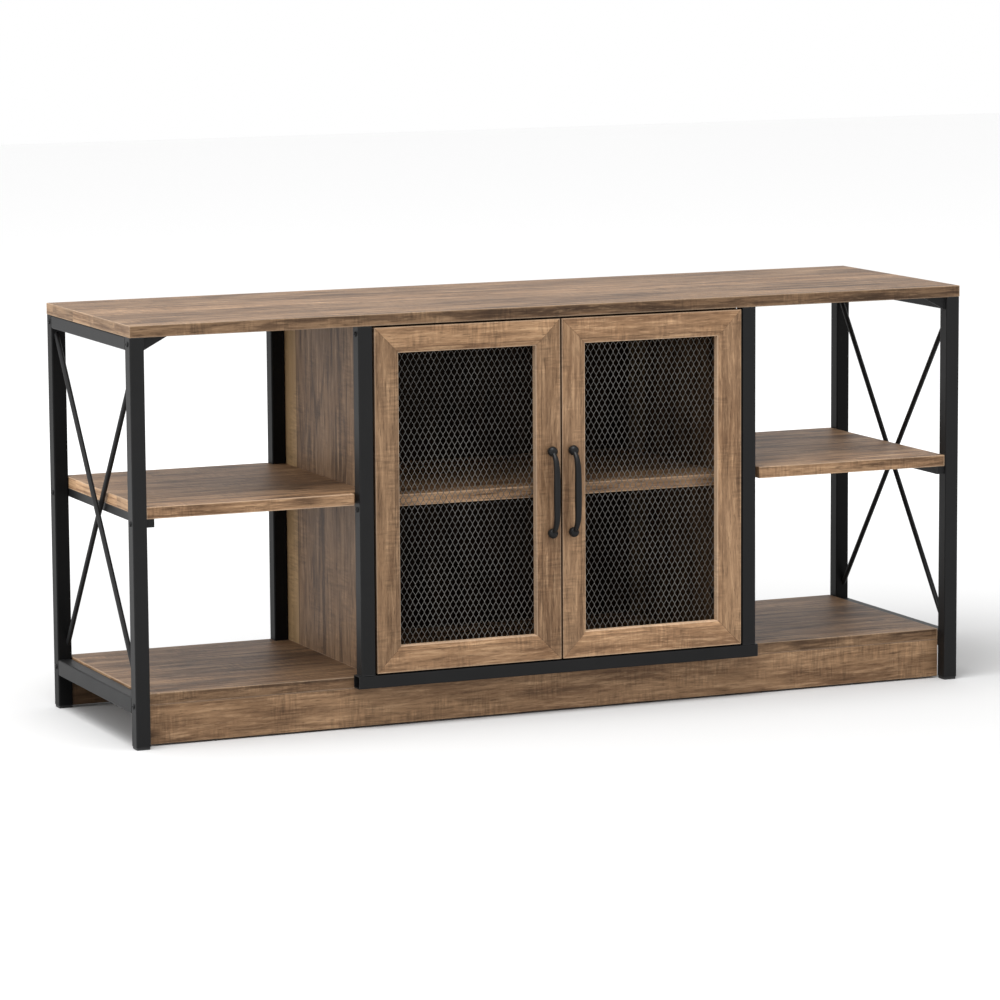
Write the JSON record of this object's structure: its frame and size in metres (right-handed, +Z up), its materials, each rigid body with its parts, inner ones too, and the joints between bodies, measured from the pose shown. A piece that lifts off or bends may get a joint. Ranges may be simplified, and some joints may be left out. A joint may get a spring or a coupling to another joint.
{
  "type": "tv stand with doors",
  "caption": "Low rectangular television stand: wood boards in a black square-tube frame, open shelf bays with crossed rods at both ends, and a central cabinet with expanded-metal doors.",
  "frame": {"origin": "on the floor under the centre of the whole object's box, door handles included", "axes": "+Z up, +X to the right along the length, the doors face -Y"},
  "size_m": [1.4, 0.429, 0.64],
  "materials": {
    "wood_top": "rustic oak-print board, satin",
    "wood_deck": "rustic oak-print board, satin",
    "wood_side": "rustic oak-print board, satin",
    "wood_door": "rustic oak-print board, satin",
    "wood_dark": "dark board, matt",
    "black_steel": "matt black powder coat",
    "mesh_steel": "dark grey paint, satin",
    "black_plastic": "moulded black",
    "bright_steel": "nickel plated"
  },
  "bodies": {
    "frame": {"top_board": "wood_top", "deck_board": "wood_deck", "left_shelf": "wood_deck", "right_shelf": "wood_deck", "cabinet_shelf": "wood_deck", "front_plinth": "wood_side", "rear_plinth": "wood_side", "left_deck_stretcher": "wood_side", "right_deck_stretcher": "wood_side", "left_cabinet_side": "wood_side", "right_cabinet_side": "wood_side", "cabinet_back_panel": "wood_dark", "front_left_post": "black_steel", "front_left_cabinet_post": "black_steel", "rear_left_post": "black_steel", "rear_left_cabinet_post": "black_steel", "left_top_rail": "black_steel", "left_bottom_rail": "black_steel", "left_shelf_rail": "black_steel", "left_outer_brace_rod": "black_steel", "left_inner_brace_rod": "black_steel", "left_gusset": "black_steel", "front_right_post": "black_steel", "front_right_cabinet_post": "black_steel", "rear_right_post": "black_steel", "rear_right_cabinet_post": "black_steel", "right_top_rail": "black_steel", "right_bottom_rail": "black_steel", "right_shelf_rail": "black_steel", "right_outer_brace_rod": "black_steel", "right_inner_brace_rod": "black_steel", "right_gusset": "black_steel", "cabinet_front_rail": "black_steel", "front_left_foot_glide": "black_plastic", "front_right_foot_glide": "black_plastic", "rear_left_foot_glide": "black_plastic", "rear_right_foot_glide": "black_plastic", "magnetic_catch": "black_plastic", "left_lower_hinge_arm": "bright_steel", "left_upper_hinge_arm": "bright_steel", "right_lower_hinge_arm": "bright_steel", "right_upper_hinge_arm": "bright_steel"},
    "left_door": {"left_door_hinge_stile": "wood_door", "left_door_meeting_stile": "wood_door", "left_door_top_rail": "wood_door", "left_door_bottom_rail": "wood_door", "left_door_mesh": "mesh_steel", "left_door_handle": "black_steel", "left_strike_plate": "bright_steel", "left_lower_hinge_cup": "bright_steel", "left_upper_hinge_cup": "bright_steel"},
    "right_door": {"right_door_hinge_stile": "wood_door", "right_door_meeting_stile": "wood_door", "right_door_top_rail": "wood_door", "right_door_bottom_rail": "wood_door", "right_door_mesh": "mesh_steel", "right_door_handle": "black_steel", "right_strike_plate": "bright_steel", "right_lower_hinge_cup": "bright_steel", "right_upper_hinge_cup": "bright_steel"}
  },
  "joints": [
    {"name": "left_door_hinge", "type": "hinge", "parent": "frame", "child": "left_door", "pos_m": [-0.307, -0.1825, 0.353], "axis": [0, 0, -1], "range_deg": [0, 110]},
    {"name": "right_door_hinge", "type": "hinge", "parent": "frame", "child": "right_door", "pos_m": [0.307, -0.1825, 0.353], "axis": [0, 0, 1], "range_deg": [0, 110]}
  ]
}
